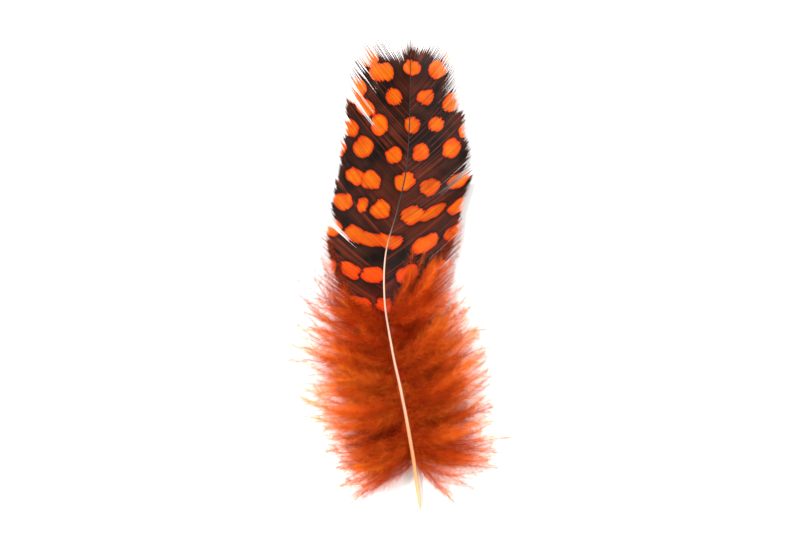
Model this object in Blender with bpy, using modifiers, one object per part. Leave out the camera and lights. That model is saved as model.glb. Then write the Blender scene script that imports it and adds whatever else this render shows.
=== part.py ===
"""A guinea fowl body feather, lying on a table with its hollow side down.

The feather grew as one piece, so it is one solid: a tapering shaft, the two vanes on
it and the locks of down round its lower third, all fused. Sizes are in millimetres
along the feather and are turned into metres where a point is made. X runs across the
feather, Y from the quill towards the tip and Z up, and the origin is under the middle
of the feather, on the table.
"""

import math
import random

import bmesh
import bpy
import numpy as np
from mathutils import Vector

MM = 0.001

# Where the origin lies, in millimetres from the quill's end
ORIGIN_ACROSS = 0.75
ORIGIN_ALONG = 43.23

# The shaft's route: across, along and height. It bows to the left above the down and
# arches over the table.
SHAFT_ROUTE = (
    (4.4, 0.0, 1.0),
    (3.0, 10.0, 2.3),
    (1.2, 20.0, 3.5),
    (-0.7, 29.0, 4.4),
    (-2.0, 38.0, 4.9),
    (-1.7, 46.0, 4.9),
    (0.2, 53.0, 4.5),
    (1.8, 60.0, 3.7),
    (2.4, 68.0, 2.6),
    (2.6, 77.0, 1.4),
    (2.6, 87.0, 0.5),
)
SHAFT_TIP = 80.0
# Half the shaft's thickness along its length
SHAFT_RADII = ((0.0, 0.28), (2.0, 0.44), (9.0, 0.50), (30.0, 0.38), (55.0, 0.32), (80.0, 0.27))
SHAFT_STEPS = 32

# The barbs of the vanes: where each leaves the shaft, how far it leans out from the
# tip's direction there and at its end, and its length
BARB_PLAN = (
    (29.0, 64.0, 54.0, 11.5),
    (36.0, 58.0, 46.0, 15.5),
    (45.0, 53.0, 40.0, 17.0),
    (55.0, 50.0, 36.0, 17.0),
    (64.0, 46.0, 33.0, 15.5),
    (71.0, 43.0, 32.0, 13.8),
    (76.0, 36.0, 26.0, 10.8),
    (80.0, 0.0, 0.0, 6.5),
)
VANE_START = 29.0
BEND_FOLLOWED = 0.45  # share of the shaft's bend that the barbs' directions follow
# Barbs are longer on the side that the shaft bows away from, so the rim stays even
RIM_MIDDLE = 0.4
RIM_EVENING = 0.05
RIM_FREE_FROM = 68.0  # towards the tip both sides grow alike again
VANE_THICKNESS = 0.40
VANE_DROOP = 0.015  # how fast the vane falls away beside the shaft, per millimetre squared
LOWEST_VANE = 0.18  # height of the vane's middle layer where it touches the table
BARB_GROUPS = 42  # barbs on each side that the solid shows
BARB_STEPS = 7
NOTCH_DEPTHS = (0.0, 0.07, 0.03, 0.10)  # how much shorter neighbouring barbs are
# Where the web has come apart, as places along the shaft for each side, how far in
# the slit starts, and how many degrees the barbs below it lean further out
SLITS = {-1: (43.0, 62.0), 1: (51.0,)}
SLIT_START = 0.45
SLIT_LEAN = 4.6
SLIT_FADE = 12.0  # millimetres of shaft over which the lean dies away

# Down: locks along the lower shaft, from the quill up to the vane
DOWN_START = 8.5
DOWN_END = 35.0
LOCKS_PER_SIDE = 19
LOCK_LENGTHS = ((8.5, 13.0), (14.0, 17.0), (24.0, 18.0), (35.0, 15.0))
LOCK_LEANS = ((8.5, 124.0), (14.0, 100.0), (24.0, 80.0), (35.0, 62.0))
LOCK_RISES = (14.0, -7.0, 32.0, 3.0, -14.0)  # degrees above the vane's plane, in turn
LOCK_RADIUS = 1.45
LOCK_FULLNESS = (0.42, 0.80, 1.0, 0.92, 0.62, 0.14)  # share of the radius, root to end
LOCK_STEPS = len(LOCK_FULLNESS)
LOCK_CURL = 22.0  # degrees that a lock turns towards the tip along its length
# The aftershaft: a small second plume of down under the main one, from the same root
AFTER_LOCKS_PER_SIDE = 9
AFTER_START = 9.5
AFTER_END = 28.0
AFTER_DEPTH = 1.7
AFTER_LENGTH = 13.0
AFTER_RADIUS = 1.35
AFTERSHAFT_RADII = (0.5, 0.35)
AFTERSHAFT_LEAD = 2.0  # it parts from the shaft this far below its first lock
AFTERSHAFT_PARTING = 5.0  # and reaches its full depth over this length
AFTERSHAFT_STEPS = 12
LOWEST_LOCK = 0.8  # no lock's middle line runs lower than this
SEED = 7


def along_route(rows, places):
    """Smooth values between the rows of a table whose chosen column rises."""
    rows = np.array(rows, float)
    places = np.clip(np.atleast_1d(places), rows[0, 0], rows[-1, 0])
    slopes = np.gradient(rows[:, 1:], rows[:, 0], axis=0)
    i = np.clip(np.searchsorted(rows[:, 0], places, side="right") - 1, 0, len(rows) - 2)
    gap = rows[i + 1, 0] - rows[i, 0]
    t = ((places - rows[i, 0]) / gap)[:, None]
    gap = gap[:, None]
    return (
        rows[i, 1:] * (1 + 2 * t) * (1 - t) ** 2
        + slopes[i] * gap * t * (1 - t) ** 2
        + rows[i + 1, 1:] * t**2 * (3 - 2 * t)
        + slopes[i + 1] * gap * t**2 * (t - 1)
    )


def shaft_at(along):
    """Points on the shaft's middle line, as rows of across, along, height."""
    along = np.atleast_1d(np.asarray(along, float))
    found = along_route([(y, x, z) for x, y, z in SHAFT_ROUTE], along)
    return np.column_stack([found[:, 0], along, found[:, 1]])


def shaft_heading(along):
    """The shaft's direction seen from above, as unit rows of across, along."""
    step = 0.5
    way = (shaft_at(np.asarray(along) + step) - shaft_at(np.asarray(along) - step))[:, :2]
    return way / np.linalg.norm(way, axis=1)[:, None]


def barb_heading(along):
    """The direction barbs lean from: they even out much of the shaft's bend."""
    way = shaft_heading(along) * BEND_FOLLOWED + np.array([0.0, 1.0 - BEND_FOLLOWED])
    return way / np.linalg.norm(way, axis=1)[:, None]


def vane_height(across, along):
    """Height of the vane over the table: the shaft's arch, falling away on both sides."""
    line = shaft_at(np.clip(along, 0.0, SHAFT_ROUTE[-1][1]).ravel())
    beside = across.ravel() - line[:, 0]
    height = line[:, 2] - VANE_DROOP * beside**2
    return np.maximum(height, LOWEST_VANE).reshape(across.shape)


def placed(point):
    """A point of the feather in metres from the origin."""
    x, y, z = point
    return Vector(((x - ORIGIN_ACROSS) * MM, (y - ORIGIN_ALONG) * MM, z * MM))


def slit_lean(side, roots):
    """Extra degrees of lean: barbs just below a slit have sagged away from it."""
    lean = np.zeros(len(roots))
    for slit in SLITS[side]:
        below = slit - roots
        lean += np.where(below > 0, SLIT_LEAN * np.exp(-below / SLIT_FADE), 0.0)
    return lean


def rim_share(side, roots, across):
    """How much longer than planned a barb is, to even out the rim beside a bowed shaft."""
    held = np.clip((SHAFT_TIP - roots) / (SHAFT_TIP - RIM_FREE_FROM), 0, 1)
    return 1 - side * RIM_EVENING * (across - RIM_MIDDLE) * held


def barb_lines(side):
    """Barbs of one vane, as an array of barb, step and x, y, z."""
    roots = np.linspace(VANE_START, SHAFT_TIP, BARB_GROUPS)
    lean_root, lean_end, length = along_route(BARB_PLAN, roots).T
    lean_end = lean_end + slit_lean(side, roots)
    notches = np.array([NOTCH_DEPTHS[k % len(NOTCH_DEPTHS)] for k in range(BARB_GROUPS)])
    notches[-1] = 0.0
    heading = barb_heading(roots)
    start = shaft_at(roots)[:, :2]
    length = length * (1 - notches) * rim_share(side, roots, start[:, 0])
    share = np.linspace(0, 1, BARB_STEPS)
    lean = np.radians(lean_root[:, None] + (lean_end - lean_root)[:, None] * share)
    ahead = np.cos(lean)[..., None] * heading[:, None, :]
    beside = np.stack([heading[:, 1], -heading[:, 0]], axis=1) * side
    ways = ahead + np.sin(lean)[..., None] * beside[:, None, :]
    steps = (ways[:, 1:] + ways[:, :-1]) / 2 * (length / (BARB_STEPS - 1))[:, None, None]
    plan = start[:, None, :] + np.concatenate(
        [np.zeros((BARB_GROUPS, 1, 2)), np.cumsum(steps, axis=1)], axis=1
    )
    height = vane_height(plan[..., 0], plan[..., 1])
    return np.concatenate([plan, height[..., None]], axis=2), roots


def new_object(name, data, collection):
    made = bpy.data.objects.new(name, data)
    collection.objects.link(made)
    return made


def make_vanes(collection):
    """Both vanes as one thin shell that runs from edge to edge across the shaft."""
    sheet = bmesh.new()
    for side in (-1, 1):
        lines, roots = barb_lines(side)
        grid = [[sheet.verts.new(placed(p)) for p in line] for line in lines]
        slit_rows = {int(np.searchsorted(roots, slit)) - 1 for slit in SLITS[side]}
        first_open = int(SLIT_START * (BARB_STEPS - 1))
        for i in range(BARB_GROUPS - 1):
            for j in range(BARB_STEPS - 1):
                if i in slit_rows and j >= first_open:
                    continue
                corners = [grid[i][j], grid[i][j + 1], grid[i + 1][j + 1], grid[i + 1][j]]
                sheet.faces.new(corners if side > 0 else corners[::-1])
    bmesh.ops.remove_doubles(sheet, verts=sheet.verts, dist=0.02 * MM)
    mesh = bpy.data.meshes.new("feather")
    sheet.to_mesh(mesh)
    sheet.free()
    vanes = new_object("feather", mesh, collection)
    shell = vanes.modifiers.new("Vane thickness", "SOLIDIFY")
    shell.thickness = VANE_THICKNESS * MM
    shell.offset = 0.0
    return vanes


def closed_tube(name, points, radii, collection, sides=1):
    """A round tapering tube through the points, as a closed mesh with welded caps."""
    curve = bpy.data.curves.new(name, "CURVE")
    curve.dimensions = "3D"
    curve.bevel_depth = MM
    curve.bevel_resolution = sides
    curve.use_fill_caps = True
    line = curve.splines.new("POLY")
    line.points.add(len(points) - 1)
    for spot, point, radius in zip(line.points, points, radii):
        spot.co = (*placed(point), 1.0)
        spot.radius = radius
    guide = new_object(name + "_line", curve, collection)
    bpy.context.view_layer.update()
    graph = bpy.context.evaluated_depsgraph_get()
    mesh = bpy.data.meshes.new_from_object(guide.evaluated_get(graph))
    bpy.data.objects.remove(guide)
    shape = bmesh.new()
    shape.from_mesh(mesh)
    bmesh.ops.remove_doubles(shape, verts=shape.verts, dist=0.001 * MM)
    bmesh.ops.recalc_face_normals(shape, faces=shape.faces)
    shape.to_mesh(mesh)
    shape.free()
    return new_object(name, mesh, collection)


def make_shaft(collection):
    along = np.linspace(0.0, SHAFT_TIP, SHAFT_STEPS)
    radii = along_route(SHAFT_RADII, along)[:, 0]
    return closed_tube("shaft", shaft_at(along), radii, collection, sides=2)


def lock_line(root, side, lean, rise, length):
    """The middle line of a lock: out from the shaft, curling towards the feather's tip."""
    heading = shaft_heading(root[1])[0]
    points = [Vector(root)]
    step = length / (LOCK_STEPS - 1)
    for k in range(LOCK_STEPS - 1):
        share = (k + 0.5) / (LOCK_STEPS - 1)
        turn = math.radians(lean - LOCK_CURL * share)
        climb = math.radians(rise * (1 - 1.2 * share))
        ahead, beside = math.cos(turn), math.sin(turn) * side
        way = Vector(
            (
                (ahead * heading[0] + beside * heading[1]) * math.cos(climb),
                (ahead * heading[1] - beside * heading[0]) * math.cos(climb),
                math.sin(climb),
            )
        )
        point = points[-1] + way * step
        point.z = max(point.z, LOWEST_LOCK)
        points.append(point)
    return points


def lock_radii(radius):
    """A lock is slim at its root, full in the middle and ends in a point."""
    return [radius * share for share in LOCK_FULLNESS]


def lock_plan():
    """Every lock as its plume, side, root, lean, rise and length."""
    draw = random.Random(SEED)
    plan = []
    for side in (-1, 1):
        for k in range(LOCKS_PER_SIDE):
            place = (k + draw.uniform(0.2, 0.8)) / LOCKS_PER_SIDE
            along = DOWN_START + (DOWN_END - DOWN_START) * place
            lean = along_route(LOCK_LEANS, along)[0, 0] + draw.uniform(-8, 8)
            length = along_route(LOCK_LENGTHS, along)[0, 0] * draw.uniform(0.84, 1.08)
            rise = LOCK_RISES[k % len(LOCK_RISES)] + draw.uniform(-5, 5)
            plan.append(("main", side, shaft_at(along)[0], lean, rise, length))
        for k in range(AFTER_LOCKS_PER_SIDE):
            along = AFTER_START + (AFTER_END - AFTER_START) * (k + 0.5) / AFTER_LOCKS_PER_SIDE
            root = shaft_at(along)[0]
            root[2] = max(root[2] - AFTER_DEPTH, LOWEST_LOCK)
            lean = along_route(LOCK_LEANS, along)[0, 0] + draw.uniform(-9, 9)
            length = AFTER_LENGTH * draw.uniform(0.85, 1.1)
            plan.append(("after", side, root, lean, draw.uniform(-12, 2), length))
    return plan


def make_down(collection):
    """The locks of the main plume, and of the aftershaft's plume under it."""
    for plume, side, root, lean, rise, length in lock_plan():
        points = lock_line(root, side, lean, rise, length)
        radius = LOCK_RADIUS if plume == "main" else AFTER_RADIUS
        closed_tube(f"{plume}_lock", points, lock_radii(radius), collection)
    along = np.linspace(AFTER_START - AFTERSHAFT_LEAD, AFTER_END, AFTERSHAFT_STEPS)
    spine = shaft_at(along)
    parting = np.clip((along - along[0]) / AFTERSHAFT_PARTING, 0, 1)
    spine[:, 2] = np.maximum(spine[:, 2] - AFTER_DEPTH * parting, LOWEST_LOCK)
    radii = np.linspace(*AFTERSHAFT_RADII, AFTERSHAFT_STEPS)
    closed_tube("aftershaft", spine, radii, collection)


def make_table_cutter(collection):
    """Everything under the table's surface, which presses the lowest down flat."""
    block = bmesh.new()
    bmesh.ops.create_cube(block, size=1.0)
    mesh = bpy.data.meshes.new("table_cutter")
    bmesh.ops.scale(block, vec=(0.12, 0.16, 0.02), verts=block.verts)
    bmesh.ops.translate(block, vec=(0.0, 0.0, -0.01), verts=block.verts)
    block.to_mesh(mesh)
    block.free()
    return new_object("table_cutter", mesh, collection)


def feather_material():
    """Dyed keratin: dark brown web, with the down's orange left to the finish."""
    material = bpy.data.materials.new("dyed_feather")
    material.use_nodes = True
    shader = material.node_tree.nodes["Principled BSDF"]
    shader.inputs["Base Color"].default_value = (0.42, 0.075, 0.016, 1.0)
    shader.inputs["Roughness"].default_value = 0.7
    shader.inputs["Metallic"].default_value = 0.0
    return material


def new_collection(name, helper=False):
    made = bpy.data.collections.new(name)
    bpy.context.scene.collection.children.link(made)
    made.hide_render = helper
    return made


def main():
    for old in list(bpy.data.objects):
        bpy.data.objects.remove(old)
    whole = new_collection("guinea_fowl_feather")
    grown_on = new_collection("grown_on_the_vanes", helper=True)
    cutters = new_collection("cutters", helper=True)
    feather = make_vanes(whole)
    make_shaft(grown_on)
    make_down(grown_on)
    table = make_table_cutter(cutters)
    join = feather.modifiers.new("Shaft and down", "BOOLEAN")
    join.operation = "UNION"
    join.operand_type = "COLLECTION"
    join.collection = grown_on
    rest = feather.modifiers.new("Pressed flat", "BOOLEAN")
    rest.operation = "DIFFERENCE"
    rest.object = table
    feather.data.materials.append(feather_material())
    for helper in [*grown_on.objects, *cutters.objects]:
        helper.hide_render = True
        helper.display_type = "WIRE"


main()
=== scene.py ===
"""How a dyed guinea fowl feather looks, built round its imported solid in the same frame.

The vane is made of single barbs, each with a ridge and a web, so that it frays at its
rim as a real one does, and the down of barbs that carry fine barbules. Sizes are in
millimetres along the feather and turned into metres where a mesh is made. A place
along the feather is measured from the quill's end, and angles are in degrees.
"""

import math
import random

import bpy
import numpy as np
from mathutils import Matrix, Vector


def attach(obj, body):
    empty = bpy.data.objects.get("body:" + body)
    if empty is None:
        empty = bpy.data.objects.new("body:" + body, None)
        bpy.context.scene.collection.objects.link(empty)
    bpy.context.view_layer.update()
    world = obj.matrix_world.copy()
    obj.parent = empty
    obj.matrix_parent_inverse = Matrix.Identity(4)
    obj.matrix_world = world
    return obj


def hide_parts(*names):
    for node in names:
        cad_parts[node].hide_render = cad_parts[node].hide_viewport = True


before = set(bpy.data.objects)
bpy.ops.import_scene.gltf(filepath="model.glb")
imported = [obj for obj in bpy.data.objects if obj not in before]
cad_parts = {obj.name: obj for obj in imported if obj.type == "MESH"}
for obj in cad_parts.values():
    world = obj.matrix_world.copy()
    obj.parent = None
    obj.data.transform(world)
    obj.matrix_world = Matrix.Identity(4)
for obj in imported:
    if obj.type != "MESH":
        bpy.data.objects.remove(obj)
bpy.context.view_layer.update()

MM = 0.001
UP = np.array([0.0, 0.0, 1.0])
TINY = 1e-6  # keeps a division by a length from failing

# The feather's lines, as in the solid
ORIGIN_ACROSS = 0.75
ORIGIN_ALONG = 43.23
SHAFT_ROUTE = (  # across, along and height
    (4.4, 0.0, 1.0),
    (3.0, 10.0, 2.3),
    (1.2, 20.0, 3.5),
    (-0.7, 29.0, 4.4),
    (-2.0, 38.0, 4.9),
    (-1.7, 46.0, 4.9),
    (0.2, 53.0, 4.5),
    (1.8, 60.0, 3.7),
    (2.4, 68.0, 2.6),
    (2.6, 77.0, 1.4),
    (2.6, 87.0, 0.5),
)
SHAFT_TIP = 80.0
BARB_PLAN = (  # the root's place along, the lean at root and end, and the length
    (29.0, 64.0, 54.0, 11.5),
    (36.0, 58.0, 46.0, 15.5),
    (45.0, 53.0, 40.0, 17.0),
    (55.0, 50.0, 36.0, 17.0),
    (64.0, 46.0, 33.0, 15.5),
    (71.0, 43.0, 32.0, 13.8),
    (76.0, 36.0, 26.0, 10.8),
    (80.0, 0.0, 0.0, 6.5),
)
BEND_FOLLOWED = 0.45  # how far the barbs turn with the shaft's bends
VANE_START = 29.0
VANE_DROOP = 0.015  # the vane falls by this times the square of the way from the shaft
LOWEST_VANE = 0.20
SLITS = {-1: (43.0, 62.0), 1: (51.0,)}  # where the web has come apart, by side
SLIT_LEAN = 4.6  # barbs just below a slit lean out by this much more
SLIT_FADE = 12.0
RIM_MIDDLE = 0.4  # both rims are evened out about this line
RIM_EVENING = 0.05
RIM_FREE_FROM = 68.0
DOWN_START = 8.5
DOWN_END = 35.0
LOCKS_PER_SIDE = 19
LOCK_LENGTHS = ((8.5, 13.0), (14.0, 17.0), (24.0, 18.0), (35.0, 15.0))
LOCK_LEANS = ((8.5, 124.0), (14.0, 100.0), (24.0, 80.0), (35.0, 62.0))
LOCK_RISES = (14.0, -7.0, 32.0, 3.0, -14.0)
LOCK_STEPS = 6
LOCK_CURL = 22.0  # how far a lock turns back towards the tip over its length
CLIMB_LOST = 1.2  # how much of its rise a lock loses over its length
AFTER_LOCKS_PER_SIDE = 9
AFTER_START = 9.5
AFTER_END = 28.0
AFTER_DEPTH = 1.7
AFTER_LENGTH = 13.0
AFTERSHAFT_LEAD = 2.0
AFTERSHAFT_PARTING = 5.0
LOWEST_LOCK = 0.8
SEED = 7


def table_at(rows, places):
    """Smooth values between a table's rows, whose first column rises."""
    rows = np.array(rows, float)
    places = np.clip(np.atleast_1d(places), rows[0, 0], rows[-1, 0])
    slopes = np.gradient(rows[:, 1:], rows[:, 0], axis=0)
    i = np.clip(np.searchsorted(rows[:, 0], places, side="right") - 1, 0, len(rows) - 2)
    gap = rows[i + 1, 0] - rows[i, 0]
    t = ((places - rows[i, 0]) / gap)[:, None]
    gap = gap[:, None]
    return (
        rows[i, 1:] * (1 + 2 * t) * (1 - t) ** 2
        + slopes[i] * gap * t * (1 - t) ** 2
        + rows[i + 1, 1:] * t**2 * (3 - 2 * t)
        + slopes[i + 1] * gap * t**2 * (t - 1)
    )


def shaft_at(along):
    """Points on the shaft's middle line."""
    along = np.atleast_1d(np.asarray(along, float))
    found = table_at([(y, x, z) for x, y, z in SHAFT_ROUTE], along)
    return np.column_stack([found[:, 0], along, found[:, 1]])


def shaft_heading(along):
    """The shaft's direction seen from above."""
    step = 0.5
    way = (shaft_at(np.asarray(along) + step) - shaft_at(np.asarray(along) - step))[:, :2]
    return way / np.linalg.norm(way, axis=1)[:, None]


def barb_heading(along):
    """The direction that the barbs lean out from."""
    way = shaft_heading(along) * BEND_FOLLOWED + np.array([0.0, 1.0 - BEND_FOLLOWED])
    return way / np.linalg.norm(way, axis=1)[:, None]


def smooth_step(low, high, x):
    """From 0 at low to 1 at high, which may also be the lower number."""
    t = np.clip((x - low) / (high - low), 0, 1)
    return t * t * (3 - 2 * t)


def drift(n, step, size, rng):
    """A slow random wander over n neighbours: knots every few of them, joined smoothly."""
    knots = rng.normal(0, size, int(n / step) + 4)
    x = np.arange(n) / step + rng.uniform(0, 1)
    i = x.astype(int)
    t = x - i
    t = t * t * (3 - 2 * t)
    return knots[i] * (1 - t) + knots[i + 1] * t


def across_and_over(way):
    """Two directions square to a line's: one level, and one on its upper side."""
    side = np.cross(way, UP)
    side /= np.maximum(np.linalg.norm(side, axis=1)[:, None], TINY)
    return side, np.cross(side, way)


def ring_points(spine, way, outline, wide, high):
    """Points round a line: its outline, made this wide and high at each of its points."""
    beside, over = across_and_over(way)
    level = (outline[0] * wide[:, None])[..., None] * beside[:, None]
    upright = (outline[1] * high[:, None])[..., None] * over[:, None]
    return (spine[:, None] + level + upright).reshape(-1, 3)


def ring_quads(first_points, steps, sides):
    """The faces between a rod's rings, for rods that begin at these numbers of points."""
    rings = np.arange(steps - 1) * sides
    first, ring, k = np.meshgrid(first_points, rings, np.arange(sides), indexing="ij")
    a = (first + ring + k).ravel()
    b = (first + ring + (k + 1) % sides).ravel()
    return np.column_stack([a, b, b + sides, a + sides])


def add_object(name, data):
    """A new object in the scene."""
    made = bpy.data.objects.new(name, data)
    bpy.context.scene.collection.objects.link(made)
    return made


def mesh_object(name, points, faces, attributes, uv, material, smooth=False):
    """One mesh from arrays: points in millimetres, faces as rows of three or four."""
    points = (points - np.array([ORIGIN_ACROSS, ORIGIN_ALONG, 0.0])) * MM
    mesh = bpy.data.meshes.new(name)
    mesh.vertices.add(len(points))
    mesh.vertices.foreach_set("co", points.astype(np.float32).ravel())
    loops = np.concatenate([block.ravel() for block in faces]).astype(np.int32)
    counts = np.concatenate([np.full(len(block), block.shape[1]) for block in faces])
    starts = np.concatenate([[0], np.cumsum(counts)[:-1]]).astype(np.int32)
    mesh.loops.add(len(loops))
    mesh.loops.foreach_set("vertex_index", loops)
    mesh.polygons.add(len(counts))
    mesh.polygons.foreach_set("loop_start", starts)
    for key, values in attributes.items():
        layer = mesh.attributes.new(key, "FLOAT", "POINT")
        layer.data.foreach_set("value", values.astype(np.float32))
    layer = mesh.uv_layers.new(name="OFBake")
    layer.data.foreach_set("uv", uv[loops].astype(np.float32).ravel())
    mesh.update(calc_edges=True)
    mesh.validate()
    mesh.polygons.foreach_set("use_smooth", np.full(len(mesh.polygons), smooth))
    mesh.materials.append(material)
    made = add_object(name, mesh)
    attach(made, "root")
    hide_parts("feather")


# Camera, floor and light, in metres
FILM_WIDTH = 36.0
LENS = 90.0
FRAME_HEIGHT = 0.0955  # what the camera sees from top to bottom of the picture
IMAGE_SHAPE = 800 / 534
WALL_COLOUR = (1.0, 0.99, 0.975, 1.0)
WALL_LIGHT = 0.62  # how strongly the wall lights the feather
WALL_SEEN = 1.0  # how bright it looks itself, as white as the lit floor
LAMPS = (  # name, where it shines from, its spread and its strength
    ("key", (-0.22, 0.26, 0.42), 17.0, 5.0),
    ("fill", (0.34, -0.10, 0.38), 40.0, 1.9),
)
FLOOR_REACH = 3.0
PAPER_COLOUR = (0.93, 0.93, 0.925, 1.0)


def make_camera():
    """The camera isn't turned, so it looks straight down, as the photo's did."""
    data = bpy.data.cameras.new("camera")
    data.sensor_width = FILM_WIDTH
    data.lens = LENS
    camera = add_object("camera", data)
    distance = FRAME_HEIGHT * IMAGE_SHAPE * LENS / FILM_WIDTH
    camera.location = (0.0, 0.0, distance)
    data.clip_start = 0.01
    data.clip_end = 10.0
    bpy.context.scene.camera = camera


def make_wall():
    """A white room all round, as bright as the floor wherever the camera sees it."""
    world = bpy.data.worlds.new("soft_room")
    bpy.context.scene.world = world
    world.use_nodes = True
    nodes, links = world.node_tree.nodes, world.node_tree.links
    back = nodes["Background"]
    back.inputs["Color"].default_value = WALL_COLOUR
    rays = nodes.new("ShaderNodeLightPath")
    level = nodes.new("ShaderNodeMapRange")
    level.inputs["To Min"].default_value = WALL_LIGHT
    level.inputs["To Max"].default_value = WALL_SEEN
    links.new(rays.outputs["Is Camera Ray"], level.inputs["Value"])
    links.new(level.outputs[0], back.inputs["Strength"])


def make_lamp(name, from_where, spread, strength):
    """A lamp as far off as the sun, so that the floor is as bright at its far end."""
    data = bpy.data.lights.new(name, "SUN")
    data.angle = math.radians(spread)
    data.energy = strength
    light = add_object(name, data)
    light.location = from_where
    light.rotation_euler = (-Vector(from_where)).to_track_quat("-Z", "Y").to_euler()


def make_floor():
    mesh = bpy.data.meshes.new("floor")
    ends = (-FLOOR_REACH, FLOOR_REACH)
    mesh.from_pydata([(x, y, 0) for y in ends for x in ends], [], [(0, 1, 3, 2)])
    floor = add_object("floor", mesh)
    paper = bpy.data.materials.new("white_paper")
    paper.use_nodes = True
    shader = paper.node_tree.nodes["Principled BSDF"]
    shader.inputs["Base Color"].default_value = PAPER_COLOUR
    shader.inputs["Roughness"].default_value = 0.9
    mesh.materials.append(paper)


def make_studio():
    bpy.context.scene.view_settings.view_transform = "Standard"
    make_camera()
    make_wall()
    for lamp in LAMPS:
        make_lamp(*lamp)
    make_floor()


# Colours, as screen values from 0 to 255
WEB_BLACK = (19, 12, 9)
WEB_BROWN = (58, 29, 20)
WEB_PATCH = (92, 36, 20)
WEB_STREAK = (120, 46, 22)
WEB_BARE_END = (110, 84, 76)
WEB_DOWNY = (132, 36, 8)
WEB_ROUND_MARK = (30, 16, 14)
MARK_YELLOWER = (204, 98, 11)
MARK_REDDER = (195, 75, 6)
MARK_LOW = (202, 62, 10)
MARK_EDGE = (188, 38, 4)
MARK_DOWNY = (186, 50, 8)
MARK_BARE_END = (238, 124, 62)
DOWN_DEEP = ((140, 25, 8), (180, 50, 13))  # from red to yellow
DOWN_LIGHT = ((232, 82, 18), (255, 144, 42))
DOWN_PALEST = (255, 164, 70)
DOWN_PATCH = (180, 40, 10)
QUILL_END = (214, 172, 124)
QUILL_DYED = (206, 134, 82)
SHAFT_PALE = (210, 172, 150)
SHAFT_STREAK = (170, 92, 48)
SHAFT_BROWN = (92, 62, 46)
SHAFT_BLACK = (26, 14, 11)

# Patterns: their scale is in turns to the metre
PATCHES = 90.0
MOTTLES = 260.0
MARK_MOTTLES = 420.0
DOWN_PATCHES = 180.0
SHAFT_STREAKS = 500.0
WEB_GRAIN = 2600.0
SHAFT_GRAIN = 1600.0
STREAK_STRETCH = (1.0, 0.12, 1.0)
GRAIN_STRETCH = (1.0, 0.08, 1.0)
GRAIN_STRENGTH = 0.35
GRAIN_DEPTH = 0.00008
MARK_SOFTNESS = 0.09  # half the width of a mark's soft edge, in millimetres
WEB_GLOW = 0.18  # how much of the light comes through from behind
DOWN_GLOW = 0.36


def srgb(colour):
    """A colour given as screen values from 0 to 255, as linear light."""
    shares = [v / 255 for v in colour]
    return (*[v / 12.92 if v <= 10 / 255 else ((v + 0.055) / 1.055) ** 2.4 for v in shares], 1.0)


class Nodes:
    """Short ways to add and join shader nodes of one material."""

    def __init__(self, name):
        self.material = bpy.data.materials.new(name)
        self.material.use_nodes = True
        self.tree = self.material.node_tree
        self.tree.nodes.clear()

    def put(self, socket, value):
        """Joins a socket to another one, or sets it."""
        if isinstance(value, bpy.types.NodeSocket):
            self.tree.links.new(value, socket)
        else:
            socket.default_value = value

    def add(self, kind, inputs):
        node = self.tree.nodes.new(kind)
        for key, value in inputs.items():
            self.put(node.inputs[key], value)
        return node

    def attribute(self, name):
        node = self.tree.nodes.new("ShaderNodeAttribute")
        node.attribute_name = name
        return node.outputs["Fac"]

    def times(self, value, factor):
        node = self.add("ShaderNodeMath", {0: value, 1: factor})
        node.operation = "MULTIPLY"
        return node.outputs[0]

    def between(self, value, low, high, to_low=0.0, to_high=1.0):
        """A smooth step while the value goes from low to high."""
        ends = {"From Min": low, "From Max": high, "To Min": to_low, "To Max": to_high}
        node = self.add("ShaderNodeMapRange", {"Value": value, **ends})
        node.interpolation_type = "SMOOTHSTEP"
        return node.outputs[0]

    def mix(self, share, a, b):
        node = self.tree.nodes.new("ShaderNodeMix")
        node.data_type = "RGBA"
        for socket, value in ((0, share), (6, a), (7, b)):
            self.put(node.inputs[socket], value)
        return node.outputs[2]

    def layers(self, colour, *rows):
        """A colour with others laid over it in turn, each with its share."""
        for share, over in rows:
            colour = self.mix(share, colour, srgb(over))
        return colour

    def noise(self, scale, detail=3.0, stretch=None):
        place = self.tree.nodes.new("ShaderNodeTexCoord").outputs["Object"]
        if stretch is not None:
            place = self.add("ShaderNodeMapping", {"Vector": place, "Scale": stretch}).outputs[0]
        inputs = {"Vector": place, "Scale": scale, "Detail": detail}
        return self.add("ShaderNodeTexNoise", inputs).outputs["Fac"]

    def finish(self, colour, roughness, glow, specular, grain=None):
        """A skin, of which a share lets light through from behind."""
        skin = self.add("ShaderNodeBsdfPrincipled", {"Base Color": colour, "Roughness": roughness})
        skin.inputs["Specular IOR Level"].default_value = specular
        if grain is not None:
            inputs = {"Height": grain, "Strength": GRAIN_STRENGTH, "Distance": GRAIN_DEPTH}
            self.put(skin.inputs["Normal"], self.add("ShaderNodeBump", inputs).outputs[0])
        surface = skin.outputs[0]
        if glow:
            through = self.add("ShaderNodeBsdfTranslucent", {"Color": colour}).outputs[0]
            both = self.add("ShaderNodeMixShader", {0: glow, 1: surface, 2: through})
            surface = both.outputs[0]
        out = self.tree.nodes.new("ShaderNodeOutputMaterial")
        self.put(out.inputs["Surface"], surface)
        return self.material


def web_ground(n):
    """The web's nearly black ground, browner in patches, in streaks and at bare ends."""
    return n.layers(
        srgb(WEB_BLACK),
        (n.between(n.noise(MOTTLES), 0.35, 0.7), WEB_BROWN),
        (n.between(n.noise(PATCHES, 2.0), 0.47, 0.66, 0.0, 0.6), WEB_PATCH),
        (n.between(n.attribute("barb"), 0.55, 0.95, 0.0, 0.42), WEB_STREAK),
        (n.times(n.attribute("pale"), 0.12), WEB_BARE_END),
        (n.attribute("rusty"), WEB_DOWNY),
        (n.times(n.between(n.attribute("spot"), -0.75, -0.1), 0.65), WEB_ROUND_MARK),
    )


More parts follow.
